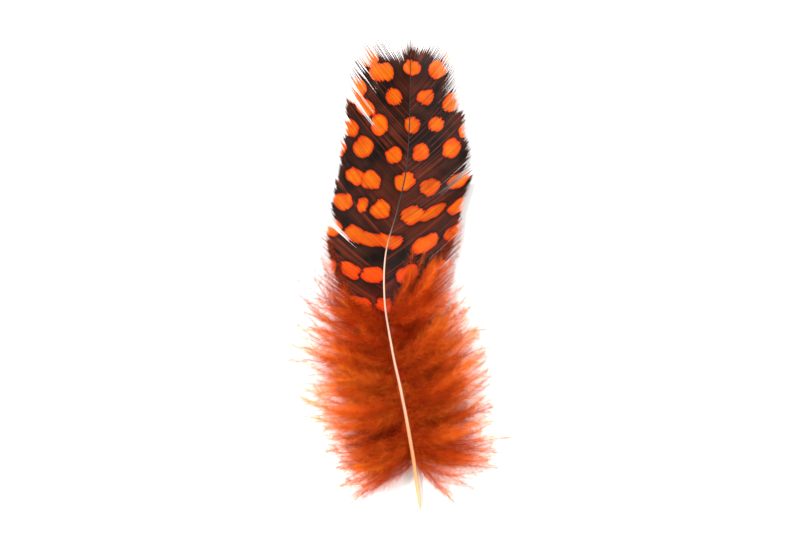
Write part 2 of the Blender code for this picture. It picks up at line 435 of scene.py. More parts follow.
def web_mark(n):
    """The marks' orange, redder at their edges, low on the vane and in its downy part."""
    return n.layers(
        srgb(MARK_YELLOWER),
        (n.between(n.noise(MARK_MOTTLES), 0.3, 0.7), MARK_REDDER),
        (n.attribute("low"), MARK_LOW),
        (n.between(n.attribute("spot"), 0.55, -0.05, 0.0, 0.85), MARK_EDGE),
        (n.times(n.attribute("rusty"), 0.8), MARK_DOWNY),
        (n.times(n.attribute("pale"), 0.8), MARK_BARE_END),
    )


def vane_material():
    n = Nodes("spotted_web")
    marked = n.between(n.attribute("spot"), -MARK_SOFTNESS, MARK_SOFTNESS)
    colour = n.mix(marked, web_ground(n), web_mark(n))
    streak = n.between(n.attribute("barb"), 0.0, 1.0, 0.74, 1.22)
    shade = n.add("ShaderNodeHueSaturation", {"Color": colour, "Value": streak})
    return n.finish(shade.outputs[0], 0.5, WEB_GLOW, 0.10, n.noise(WEB_GRAIN, 2.0))


def down_material():
    n = Nodes("dyed_down")
    deep, light = [
        n.mix(n.attribute("hue"), srgb(red), srgb(yellow)) for red, yellow in (DOWN_DEEP, DOWN_LIGHT)
    ]
    # the light attribute holds each barb's own tone together with painted light and shade: the lifted
    # rim, rising locks and darker roots
    colour = n.layers(
        n.mix(n.attribute("light"), deep, light),
        (n.between(n.attribute("light"), 0.74, 1.0, 0.0, 0.8), DOWN_PALEST),
        (n.between(n.noise(DOWN_PATCHES), 0.45, 0.8, 0.0, 0.45), DOWN_PATCH),
    )
    return n.finish(colour, 0.7, DOWN_GLOW, 0.03)


def shaft_material():
    """Pale horn, dyed at the down and dark from the middle of the vane on."""
    n = Nodes("quill")
    along = n.attribute("along")
    colour = n.layers(
        srgb(QUILL_END),
        (n.between(along, 0.02, 0.12), QUILL_DYED),
        (n.between(along, 0.10, 0.34), SHAFT_PALE),
        (n.between(n.noise(SHAFT_STREAKS, 3.0, STREAK_STRETCH), 0.5, 0.8, 0.0, 0.35), SHAFT_STREAK),
        (n.between(along, 0.53, 0.64), SHAFT_BROWN),
        (n.between(along, 0.59, 0.71), SHAFT_BLACK),
    )
    roughness = n.between(along, 0.40, 0.66, 0.28, 0.62)
    return n.finish(colour, roughness, 0.0, 0.35, n.noise(SHAFT_GRAIN, 2.0, GRAIN_STRETCH))


# The shaft, which shows thinner than the sturdy solid's
SHAFT_RADII = (
    (0.0, 0.22),
    (2.0, 0.35),
    (9.0, 0.37),
    (20.0, 0.28),
    (30.0, 0.205),
    (40.0, 0.155),
    (55.0, 0.125),
    (80.0, 0.075),
)
SHAFT_SIDES = 16
SHAFT_STEPS = 150
SHAFT_OVERRUN = 1.5  # past the last barbs' roots
QUILL_POINT = (0.35, 0.9)  # the share of the radius at the first rings
AFTERSHAFT_RADII = (0.26, 0.07)
AFTERSHAFT_STEPS = 40
GROOVE_DEPTH = 0.16  # of the radius, along the shaft's underside
GROOVE_WIDTH = 0.45  # in radians either way
FLATTENING = 0.12
FLATTENING_FROM = (12.0, 30.0)
SHAFT_MAP = (0.0, 0.7)  # where its colour map begins, and its width
AFTERSHAFT_MAP = (0.75, 0.2)
MAP_LENGTH = 0.98


def tube(spine, radius, flat):
    """A tapering rod with a groove underneath: its points, sides and end caps."""
    steps = len(spine)
    way = np.gradient(spine, axis=0)
    way /= np.linalg.norm(way, axis=1)[:, None]
    turn = np.linspace(0, 2 * math.pi, SHAFT_SIDES, endpoint=False)
    groove = 1 - GROOVE_DEPTH * np.exp(-(((turn - 1.5 * math.pi) / GROOVE_WIDTH) ** 2))
    outline = (np.cos(turn) * groove, np.sin(turn) * groove)
    rings = ring_points(spine, way, outline, radius, radius * flat)
    points = np.concatenate([rings, spine[:1], spine[-1:]])
    sides = ring_quads([0], steps, SHAFT_SIDES)[:, ::-1]
    last = (steps - 1) * SHAFT_SIDES
    j = np.arange(SHAFT_SIDES)
    k = (j + 1) % SHAFT_SIDES
    start_cap = np.column_stack([np.full(SHAFT_SIDES, len(points) - 2), j, k])
    end_cap = np.column_stack([np.full(SHAFT_SIDES, len(points) - 1), last + k, last + j])
    around = np.concatenate([np.tile(turn / (2 * math.pi), steps), [0.5, 0.5]])
    return points, sides, np.concatenate([start_cap, end_cap]), around


def rod_map(place, around, share):
    begin, width = place
    return np.column_stack([begin + width * around, MAP_LENGTH * share])


def aftershaft_line(along):
    """The aftershaft's stem, which parts from the shaft's underside near the first down."""
    line = shaft_at(along)
    beyond = np.atleast_1d(along) - AFTER_START + AFTERSHAFT_LEAD
    parting = np.clip(beyond / AFTERSHAFT_PARTING, 0, 1)
    line[:, 2] = np.maximum(line[:, 2] - AFTER_DEPTH * parting, LOWEST_LOCK)
    return line


def make_shaft(material):
    along = np.linspace(0.0, SHAFT_TIP + SHAFT_OVERRUN, SHAFT_STEPS)
    radius = table_at(SHAFT_RADII, along)[:, 0]
    radius[:2] *= QUILL_POINT
    flat = 1 - FLATTENING * smooth_step(*FLATTENING_FROM, along)
    points, sides, caps, around = tube(shaft_at(along), radius, flat)
    share = np.concatenate([np.repeat(along / SHAFT_TIP, SHAFT_SIDES), [0.0, 1.0]])
    after_along = np.linspace(AFTER_START - AFTERSHAFT_LEAD, AFTER_END, AFTERSHAFT_STEPS)
    after_radius = np.linspace(*AFTERSHAFT_RADII, AFTERSHAFT_STEPS)
    line = aftershaft_line(after_along)
    after, after_sides, after_caps, after_around = tube(line, after_radius, np.ones(AFTERSHAFT_STEPS))
    after_share = np.concatenate([np.repeat(after_along, SHAFT_SIDES), after_along[[0, -1]]]) / SHAFT_TIP
    maps = [rod_map(SHAFT_MAP, around, share), rod_map(AFTERSHAFT_MAP, after_around, after_share)]
    base = len(points)
    mesh_object(
        "shaft",
        np.concatenate([points, after]),
        [sides, after_sides + base, caps, after_caps + base],
        {"along": np.concatenate([share, after_share])},
        np.concatenate(maps),
        material,
        True,
    )


# The marks of the vane. In the lower rows, where spots run together in bars, each has
# both its ends, across from the shaft and along the feather, and half its thickness.
LOW_MARKS = (
    (-9.4, 59.6, -8.6, 59.2, 1.15),
    (-6.2, 58.8, -5.7, 58.5, 1.45),
    (-0.1, 58.3, 0.2, 58.2, 1.60),
    (4.5, 57.5, 5.1, 57.3, 1.35),
    (9.2, 58.4, 10.0, 58.9, 1.25),
    (-10.4, 55.0, -9.7, 54.7, 1.25),
    (-6.3, 54.6, -6.2, 53.8, 0.85),
    (-3.2, 53.5, -2.8, 53.3, 1.50),
    (2.5, 52.5, 3.2, 52.2, 1.50),
    (5.4, 52.2, 7.2, 53.5, 0.95),
    (10.4, 53.8, 11.4, 54.5, 1.20),
    (-11.4, 50.4, -10.2, 50.0, 1.20),
    (-7.0, 49.3, -5.6, 48.7, 1.25),
    (-4.6, 48.3, 1.3, 47.5, 1.10),
    (5.9, 47.0, 7.2, 47.7, 1.40),
    (10.9, 49.2, 12.0, 49.9, 1.15),
    (-11.2, 44.2, -9.8, 43.6, 1.15),
    (-6.4, 42.9, -5.7, 42.5, 1.30),
    (-2.7, 41.9, -1.3, 41.9, 1.30),
    (3.4, 41.6, 4.6, 42.3, 1.30),
    (8.2, 42.3, 10.2, 43.2, 1.20),
    (-9.8, 38.4, -8.4, 37.7, 1.15),
    (-4.8, 36.8, -3.8, 36.4, 1.30),
    (-0.5, 36.6, 0.5, 36.4, 1.20),
    (4.6, 36.6, 6.8, 37.4, 1.15),
)
LOW_MARK_RAGGED = 0.16  # how uneven a mark's outline is
SPOT_RAGGED = 0.05
SPOT_ROWS = ((84.0, 0.5), (79.1, 0.0), (74.0, 0.5), (68.8, 0.0), (63.6, 0.5))  # along, offset
SPOTS_PER_SIDE = 3
SPOT_PITCH = 5.05
SPOT_RADIUS = 1.36
SPOT_SIZES = (0.88, 1.10)
SPOT_SCATTER = 0.3
SPOT_DRAWN = 0.35  # how far a spot is drawn out from a round one
ROW_BENDS = (-0.010, 0.055)  # how far the rows bend back, low down and at the tip
ROW_BENDS_FROM = (60.0, 84.0)
PATTERN_SEED = 5
MARK_REACH = 3.0  # no mark reaches further than this
MARK_LENGTHENING = 0.028  # along the barbs, for each millimetre from the shaft
SHAFT_STRIP = 4.5  # marks this near the shaft can cross it
FAR_FROM_MARKS = -9.0
BARB_SHIFT = 0.62  # of its jitter moves its share of a mark


def mark_list():
    """Each mark as both its ends, its half thickness and how uneven its outline is."""
    pattern = np.random.default_rng(PATTERN_SEED)
    marks = [(*mark, LOW_MARK_RAGGED) for mark in LOW_MARKS]
    for along, offset in SPOT_ROWS:
        low_bend, tip_bend = ROW_BENDS
        bend = low_bend + (tip_bend - low_bend) * float(smooth_step(*ROW_BENDS_FROM, along))
        for k in range(-SPOTS_PER_SIDE, SPOTS_PER_SIDE + 1):
            x = (k + offset) * SPOT_PITCH + pattern.normal(0, SPOT_SCATTER)
            y = along - bend * x * x + pattern.normal(0, SPOT_SCATTER)
            drawn = abs(pattern.normal(0, SPOT_DRAWN))
            turn = pattern.uniform(0, math.pi)
            dx, dy = drawn * math.cos(turn), drawn * math.sin(turn)
            size = SPOT_RADIUS * pattern.uniform(*SPOT_SIZES)
            marks.append((x - dx, y - dy, x + dx, y + dy, size, SPOT_RAGGED))
    return marks


def depth_in_mark(mark, here, way):
    """How far inside a mark's edge each point lies. Marks are drawn out along the barbs."""
    x, y, far_x, far_y, size, ragged = mark
    middle_line = np.array([far_x - x, far_y - y])
    share = ((here - (x, y)) @ middle_line) / max(middle_line @ middle_line, TINY)
    nearest = np.array([x, y]) + np.clip(share, 0, 1)[:, None] * middle_line
    offset = here - nearest
    forward = (offset * way).sum(1) / (1 + MARK_LENGTHENING * abs((x + far_x) / 2))
    sideways = offset[:, 0] * way[:, 1] - offset[:, 1] * way[:, 0]
    wave = np.sin(here @ (2.1, 1.7) + 9 * x) * 0.6 + np.sin(here @ (-1.2, 3.3) + 7 * y) * 0.4
    return size + ragged * wave - np.hypot(forward, sideways)


# The vanes
VANE_SEED = 31
BARB_PITCH = 0.30
BARB_STEPS = 40
BARB_SIDES = 4
BARBS_SHORTER = 0.985  # than the plan's
LENGTH_UNEVEN = (9, 0.02, 0.016)  # barbs between knots, slow share and share of each barb
LEAN_WANDERS = ((14, 1.3), (4, 0.5))  # barbs between knots and degrees
LEAN_UNEVEN = 0.12
STRAY_SHARE = 0.06  # of the barbs stand apart from their neighbours
STRAY_LEAN = 3.0
STRAY_FROM = 0.55  # of their length
STRAYS_START = (31.0, 36.0)
STRAYS_END = (79.0, 72.0)
CALM_TIP = 6.0  # the barbs grow orderly over this length before the tip
TIP_ZONE = (75.0, 79.0)
TIP_SHORTENING = 0.2
TIP_FRINGE = 0.9
FRINGE_DEPTH = 1.6  # the length of the barbs' bare ends
FRINGE_HIGH = (3.2, 56.0, 72.0)  # how much deeper it gets, and from where to where
FRINGE_LOW = (6.0, 41.0, 29.0)
FRINGE_AT_SLIT = 2.6
FRINGE_UNEVEN = (6, 0.2, 0.12)
FRINGE_WIDTH = 0.036
SLIT_FRAY = 1.1
SLIT_HELD = 0.55  # of the extra lean, by which the barb in a slit keeps back
SLIT_OPENS = (0.38, 0.5)  # of the barbs' length
SLIT_WEB = 0.09
TUFT_PULL = 0.38  # how far bare ends draw together in tufts
LARGEST_TUFT = 3
WEB_REACH = 0.24
WEB_OVERLAP = 0.02
WEB_SAG = 0.03
WEB_SAG_BELOW = 1.6  # times as much, on the lower side
WEB_START = (29.3, 33.5)
RIDGE_HEIGHT = 0.055
KEEL_HEIGHT = 0.8  # of the ridge's
LIFT_WANDER = (18, 0.20)
END_LIFT = 0.05
JITTER = (3, 0.14, 0.16)
TONE_WANDER = (5, 0.5)
TONE_SLOW_SHARE = 0.3
LOW_ZONE = (54.0, 38.0)
RUSTY_ZONE = (43.0, 30.0)
RUSTY_WANDER = (4, 1.2)
RUSTY_MOST = 0.75
RUSTY_AT_ENDS = 0.15
VANE_MAP_CORNER = np.array([-17.0, 25.0])
VANE_MAP_SIZE = np.array([40.0, 65.0])
LOOSE_BELOW = 41.0  # barbs that start below this have downy ends


class Vane:
    """One half of the vane: its barbs' lines, the web between them and its colours."""

    def __init__(self, side):
        self.side = side
        self.rng = np.random.default_rng(VANE_SEED + side)
        self.count = int((SHAFT_TIP - VANE_START) / BARB_PITCH) + 1
        self.roots = np.linspace(VANE_START, SHAFT_TIP, self.count)
        self.share = np.linspace(0, 1, BARB_STEPS)
        self.near_tip = smooth_step(*TIP_ZONE, self.roots)
        self.calm = smooth_step(SHAFT_TIP, SHAFT_TIP - CALM_TIP, self.roots)
        self.above_slits = [int(np.searchsorted(self.roots, slit)) for slit in SLITS[side]]
        lean_root, lean_end = self.leans()
        length = self.lengths()
        self.plan, self.ways = self.lines(lean_root, lean_end, length)
        self.from_end = (1 - self.share)[None, :] * length[:, None]
        self.fringe = self.fringe_depths()
        self.draw_in_tufts()
        self.middle = np.concatenate([self.plan, self.heights()[..., None]], axis=2)
        self.web = self.web_strength()

    def wander(self, step, size):
        return drift(self.count, step, size, self.rng)

    def uneven(self, step, slow, quick):
        """A slow wander, and on it each barb's own."""
        return self.wander(step, slow) + self.rng.normal(0, quick, self.count)

    def slit_lean(self):
        lean = np.zeros(self.count)
        for slit in SLITS[self.side]:
            below = slit - self.roots
            lean += np.where(below > 0, SLIT_LEAN * np.exp(-below / SLIT_FADE), 0.0)
        return lean

    def leans(self):
        """How far each barb leans out at its root and at its end. Some stray at their end."""
        lean_root, lean_end, _length = table_at(BARB_PLAN, self.roots).T
        lean_end = lean_end + self.slit_lean()
        likely = smooth_step(*STRAYS_START, self.roots) * smooth_step(*STRAYS_END, self.roots)
        self.stray = self.rng.random(self.count) < STRAY_SHARE * likely
        for i in self.above_slits:
            lean_end[i - 1] -= SLIT_LEAN * SLIT_HELD
            self.stray[i - 1] = True
        astray = self.rng.normal(0, STRAY_LEAN, self.count)
        lean_end = lean_end + np.where(self.stray, astray, 0.0)
        wander = sum(self.wander(*row) for row in LEAN_WANDERS)
        wander = wander + self.rng.normal(0, LEAN_UNEVEN, self.count)
        return lean_root, lean_end + wander * self.calm

    def lengths(self):
        length = table_at(BARB_PLAN, self.roots)[:, 2]
        held = np.clip((SHAFT_TIP - self.roots) / (SHAFT_TIP - RIM_FREE_FROM), 0, 1)
        off_middle = shaft_at(self.roots)[:, 0] - RIM_MIDDLE
        length = length * (1 - self.side * RIM_EVENING * off_middle * held)
        length = length * (1 + self.uneven(*LENGTH_UNEVEN)) * BARBS_SHORTER
        return length * (1 - self.near_tip * self.rng.uniform(0.0, TIP_SHORTENING, self.count))

    def lines(self, lean_root, lean_end, length):
        """Each barb's line and its directions, both seen from above."""
        heading = barb_heading(self.roots)
        beside = np.stack([heading[:, 1], -heading[:, 0]], axis=1) * self.side
        lean = np.radians(lean_root[:, None] + (lean_end - lean_root)[:, None] * self.share)
        ahead, out = np.cos(lean)[..., None], np.sin(lean)[..., None]
        ways = ahead * heading[:, None, :] + out * beside[:, None, :]
        steps = (ways[:, 1:] + ways[:, :-1]) / 2 * (length / (BARB_STEPS - 1))[:, None, None]
        gone = np.concatenate([np.zeros((self.count, 1, 2)), np.cumsum(steps, axis=1)], axis=1)
        return shaft_at(self.roots)[:, None, :2] + gone, ways

    def fringe_depths(self):
        """How long each barb's bare end is: longer at both ends of the vane and at slits."""
        fringe = FRINGE_DEPTH
        for deeper, start, end in (FRINGE_HIGH, FRINGE_LOW):
            fringe = fringe + deeper * smooth_step(start, end, self.roots)
        for slit in SLITS[self.side]:
            fringe = fringe + FRINGE_AT_SLIT * np.exp(-(((self.roots - slit) / SLIT_FRAY) ** 2))
        return fringe * (1 + self.uneven(*FRINGE_UNEVEN)) + TIP_FRINGE * self.near_tip

    def draw_in_tufts(self):
        """Draws the bare ends of a few neighbours together, one small tuft after another."""
        drawn = self.plan.copy()
        first = 0
        while first < self.count:
            last = min(first + int(self.rng.integers(1, LARGEST_TUFT + 1)), self.count)
            barbs = slice(first, last)
            together = self.plan[barbs].mean(axis=0)
            bare = smooth_step(1.1, 0.3, self.from_end[barbs] / self.fringe[barbs, None])
            pull = (TUFT_PULL * bare * self.rng.uniform(0.4, 1.3))[..., None]
            drawn[barbs] = self.plan[barbs] * (1 - pull) + together * pull
            first = last
        self.plan = drawn

    def heights(self):
        across, along = self.plan.reshape(-1, 2).T
        line = shaft_at(along)
        height = line[:, 2] - VANE_DROOP * (across - line[:, 0]) ** 2
        lift = self.wander(*LIFT_WANDER) * self.calm
        height = height.reshape(self.count, BARB_STEPS) + lift[:, None] * self.share**2
        return np.maximum(height, LOWEST_VANE + END_LIFT * self.share)

    def web_strength(self):
        """The share of web between a barb and its neighbours: none at bare ends."""
        fringe = self.fringe[:, None]
        web = smooth_step(0.0, 1.0, (self.from_end - 0.5 * fringe) / (0.8 * fringe))
        web = np.where(self.stray[:, None] & (self.share > STRAY_FROM), 0.0, web)
        return web * smooth_step(*WEB_START, self.roots)[:, None]

    def web_widths(self, across):
        """How far the web reaches on each barb's upper and lower side."""
        gap = np.abs(np.einsum("ijk,ijk->ij", self.plan[1:] - self.plan[:-1], across[:-1]))
        thinner = (1 - 0.5 * self.near_tip)[:, None]
        hair = FRINGE_WIDTH * (0.45 + np.clip(self.from_end / 2.5, 0, 1)) * thinner
        most = WEB_REACH * self.web + hair
        fore = np.minimum(np.concatenate([gap, gap[-1:]]) / 2 + WEB_OVERLAP, most)
        aft = np.minimum(np.concatenate([gap[:1], gap]) / 2 + WEB_OVERLAP, most)
        apart = smooth_step(*SLIT_OPENS, self.share)
        for i in self.above_slits:
            for width in (aft[i], fore[i - 2]):
                width[:] = width * (1 - apart) + np.minimum(width, SLIT_WEB) * apart
        return fore, aft

    def points(self):
        """Four points round each barb at each step: both rims of its web, ridge and keel."""
        across = np.stack([self.ways[..., 1], -self.ways[..., 0]], axis=-1)
        fore, aft = self.web_widths(across)
        out = np.concatenate([across, np.zeros((*across.shape[:2], 1))], axis=2) * -self.side
        ridge = (RIDGE_HEIGHT * (0.5 + 0.5 * (1 - self.share)))[None, :, None] * UP
        ring = [
            self.middle + out * fore[..., None] - UP * WEB_SAG,
            self.middle + ridge,
            self.middle - out * aft[..., None] - UP * (WEB_SAG * WEB_SAG_BELOW),
            self.middle - ridge * KEEL_HEIGHT,
        ]
        return np.stack(ring, axis=2).reshape(-1, 3)

    def faces(self):
        """The barbs' long sides and both their caps."""
        first_points = np.arange(self.count) * BARB_STEPS * BARB_SIDES
        first_ring = first_points[:, None] + np.arange(BARB_SIDES)
        last_ring = first_ring + (BARB_STEPS - 1) * BARB_SIDES
        sides = ring_quads(first_points, BARB_STEPS, BARB_SIDES)
        blocks = [sides, last_ring, first_ring[:, ::-1]]
        return [block[:, ::-1] for block in blocks] if self.side < 0 else blocks

    def depth_in_marks(self, flat, barb_index):
        """How far inside the nearest mark's edge each point lies; below 0 it is outside."""
        step, slow, quick = JITTER
        jitter = (self.rng.normal(0, quick, self.count) + self.wander(step, slow))[barb_index]
        lateral = flat[:, 0] - shaft_at(flat[:, 1])[:, 0]
        along_way = np.repeat(self.ways.reshape(-1, 2), BARB_SIDES, axis=0)
        inside = np.full(len(flat), FAR_FROM_MARKS)
        for mark in mark_list():
            x, y, far_x, far_y = mark[:4]
            middle_x, middle_y = (x + far_x) / 2, (y + far_y) / 2
            if middle_x * self.side < -SHAFT_STRIP:
                continue
            reach = MARK_REACH + abs(far_x - x)
            close = (np.abs(lateral - middle_x) < reach) & (np.abs(flat[:, 1] - middle_y) < reach)
            way = along_way[close]
            here = np.column_stack([lateral[close], flat[close, 1]])
            here = here + way * (jitter[close] * BARB_SHIFT)[:, None]
            inside[close] = np.maximum(inside[close], depth_in_mark(mark, here, way))
        return inside

    def colours(self, flat):
        """What the web's colour follows from: see vane_material."""
        barb_index = np.repeat(np.arange(self.count), BARB_STEPS * BARB_SIDES)
        inside = self.depth_in_marks(flat, barb_index)
        quick = self.rng.uniform(0, 1, self.count)
        slow = np.clip(self.wander(*TONE_WANDER) + 0.5, 0, 1)
        tone = quick * (1 - TONE_SLOW_SHARE) + TONE_SLOW_SHARE * slow
        pale = np.repeat((1 - self.web).reshape(-1), BARB_SIDES)
        edge = flat[:, 1] + self.wander(*RUSTY_WANDER)[barb_index]
        rusty = smooth_step(*RUSTY_ZONE, edge) * RUSTY_MOST
        return {
            "spot": inside,
            "barb": tone[barb_index],
            "pale": np.clip(pale, 0, 1),
            "low": smooth_step(*LOW_ZONE, flat[:, 1]),
            "rusty": np.maximum(rusty, pale * RUSTY_AT_ENDS),
        }

    def build(self, material):
        points = self.points()
        flat = points[:, :2]
        uv = (flat - VANE_MAP_CORNER) / VANE_MAP_SIZE
        uv[:, 1] = np.clip(uv[:, 1], 0, 1)
        name = "vane_right" if self.side > 0 else "vane_left"
        mesh_object(name, points, self.faces(), self.colours(flat), uv, material)

    def loose_barbs(self):
        """The lines of the lowest barbs, whose ends turn into down."""
        return [line for line, root in zip(self.middle, self.roots) if root < LOOSE_BELOW]


# The down
DOWN_SEED = 77
BARBS_PER_LOCK = {"main": 10, "after": 8}
BARB_POINTS = 12
BARB_WAVER = 6.0  # how far a free barb turns from one point to the next
BARB_SPREAD = 13.0  # how far the barbs of a lock differ in lean and rise
BARB_ROOTS_SPREAD = 0.8
BARB_LENGTHS = (0.72, 1.16)  # of their lock's
CLUMPING = 0.24  # how far the barbs of a lock draw together at their ends
LOWEST_BARB = 0.15
LOWEST_POINT = 0.02
STEM_RADIUS = 0.045
STEM_TAPER = 0.55
STEM_TURNS = (90, 210, 330)
STEM_SIDES = len(STEM_TURNS)
STEM_ASIDE = (-1.0, 1.0, 0.0)  # each corner's place across the stem, for the colour map
BARBULE_LENGTH = 2.3
BARBULE_SIZES = (0.45, 1.35)
BARBULE_HALF_WIDTH = 0.0125
BARBULES_PER_MM = 26
BARBULE_LEAN = (46, 15)  # from the barb at first, and its spread
BARBULE_LATER_LEAN = (20, 14)
BARBULE_BEND = (0.35, 0.65)  # where a barbule bends
BARBULE_TAPER = 0.8
BARBULE_ASIDE = (-1.0, 1.0, 0.8, -0.8, 0.0)
BARBULE_TONES = np.array([0, 0, 0.13, 0.13, 0.34])  # its corners get lighter to its end
BARBULE_CORNERS = len(BARBULE_ASIDE)
WISP_KNOTS = 15  # places along a barb between which its tone wanders
WISP_DEPTH = 0.20
END_YELLOWING = 0.4
LOCK_TONE = {"main": (0.78, 0.12), "after": (0.55, 0.12)}
LOCK_TINT = {"main": (0.5, 0.2), "after": (0.48, 0.15)}
BARB_TONE_SPREAD = 0.23
BARB_TINT_SPREAD = 0.14
BARB_TINTS = (0.1, 0.85)
BRIGHTEST_BARB = 0.9
# painted light: a lock that rises towards the lamps is made lighter, one that lies low darker
RISE_PAINTED_LIGHT = 0.004
HIGH_DARKER = 0.25
HIGH_DARKER_ZONE = (27.0, 34.0)
HIGH_REDDER = 0.42
HIGH_REDDER_ZONE = (24.0, 31.0)
LOOSE_BARBULES = 0.8  # of a down barb's number
LOOSE_GROWTH = 12.0  # over this length below the vane its ends grow fully downy
ROOT_FLUFF_PER_MM = 115
ROOT_FLUFF_LENGTH = 2.5
ROOT_FLUFF_DROPS = (0.1, 0.26)
ROOT_FLUFF_STEPS = 12
SHAFT_FLANK = 0.12  # how far below the shaft's middle the down leaves it
SHAFT_REACH = 0.9
FLANK_ZONE = (0.9, 0.35)  # near the shaft the down is drawn to its flank
DOWN_PARTED_AT = 22.0  # along the shaft, into low and high pieces
MAP_WIDTH = 0.006  # of the colour map, for faces of one colour
MAP_MARGIN = 0.02


def headed(heading, side, turn, climb):
    """The direction that leans out and climbs by these angles, in radians."""
    ahead, beside, level = np.cos(turn), np.sin(turn) * side, np.cos(climb)
    across = (ahead * heading[0] + beside * heading[1]) * level
    along = (ahead * heading[1] - beside * heading[0]) * level
    return np.column_stack([across, along, np.sin(climb)])


def lock_line(root, side, lean, rise, length):
    """The middle line of a lock, as in the solid."""
    share = (np.arange(LOCK_STEPS - 1) + 0.5) / (LOCK_STEPS - 1)
    turn = np.radians(lean - LOCK_CURL * share)
    climb = np.radians(rise * (1 - CLIMB_LOST * share))
    points = [np.array(root)]
    for way in headed(shaft_heading(root[1])[0], side, turn, climb):
        point = points[-1] + way * length / (LOCK_STEPS - 1)
        point[2] = max(point[2], LOWEST_LOCK)
        points.append(point)
    return np.array(points)


def lock_plan():
    """Every lock as its plume, side, root, lean, rise and length, as in the solid."""
    pick = random.Random(SEED)
    plan = []
    for side in (-1, 1):
        for k in range(LOCKS_PER_SIDE):
            place = (k + pick.uniform(0.2, 0.8)) / LOCKS_PER_SIDE
            along = DOWN_START + (DOWN_END - DOWN_START) * place
            lean = table_at(LOCK_LEANS, along)[0, 0] + pick.uniform(-8, 8)
            length = table_at(LOCK_LENGTHS, along)[0, 0] * pick.uniform(0.84, 1.08)
            rise = LOCK_RISES[k % len(LOCK_RISES)] + pick.uniform(-5, 5)
            plan.append(("main", side, shaft_at(along)[0], lean, rise, length))
        for k in range(AFTER_LOCKS_PER_SIDE):
            along = AFTER_START + (AFTER_END - AFTER_START) * (k + 0.5) / AFTER_LOCKS_PER_SIDE
            root = shaft_at(along)[0]
            root[2] = max(root[2] - AFTER_DEPTH, LOWEST_LOCK)
            lean = table_at(LOCK_LEANS, along)[0, 0] + pick.uniform(-9, 9)
            length = AFTER_LENGTH * pick.uniform(0.85, 1.1)
            plan.append(("after", side, root, lean, pick.uniform(-12, 2), length))
    return plan


def bend_along(points, places):
    """Points and directions at shares of a line of evenly spaced points."""
    n = len(points) - 1
    x = np.clip(places, 0, 0.9999) * n
    i = x.astype(int)
    t = (x - i)[:, None]
    a, b = points[i], points[i + 1]
    before = np.where((i > 0)[:, None], points[np.maximum(i - 1, 0)], 2 * a - b)
    after = np.where((i + 2 <= n)[:, None], points[np.minimum(i + 2, n)], 2 * b - a)
    square = (2 * before - 5 * a + 4 * b - after) * t**2
    cube = (3 * a - before - 3 * b + after) * t**3
    spot = 0.5 * (2 * a + (b - before) * t + square + cube)
    way = 0.5 * ((b - before) * (1 - t) + (after - a) * t)
    return spot, way / np.linalg.norm(way, axis=1)[:, None]


def wander_path(root, side, lean, rise, length, rng):
    """A free down barb's line: it leaves the shaft like its lock and wavers on its own."""
    steps = BARB_POINTS - 1
    share = (np.arange(steps) + 0.5) / steps
    turn = np.radians(lean - LOCK_CURL * share + np.cumsum(rng.normal(0, BARB_WAVER, steps)))
    wavering = np.cumsum(rng.normal(0, BARB_WAVER, steps))
    climb = np.radians(rise * (1 - CLIMB_LOST * share) + wavering)
    way = headed(shaft_heading(root[1])[0], side, turn, climb)
    return np.concatenate([[root], root + np.cumsum(way * length / steps, axis=0)])


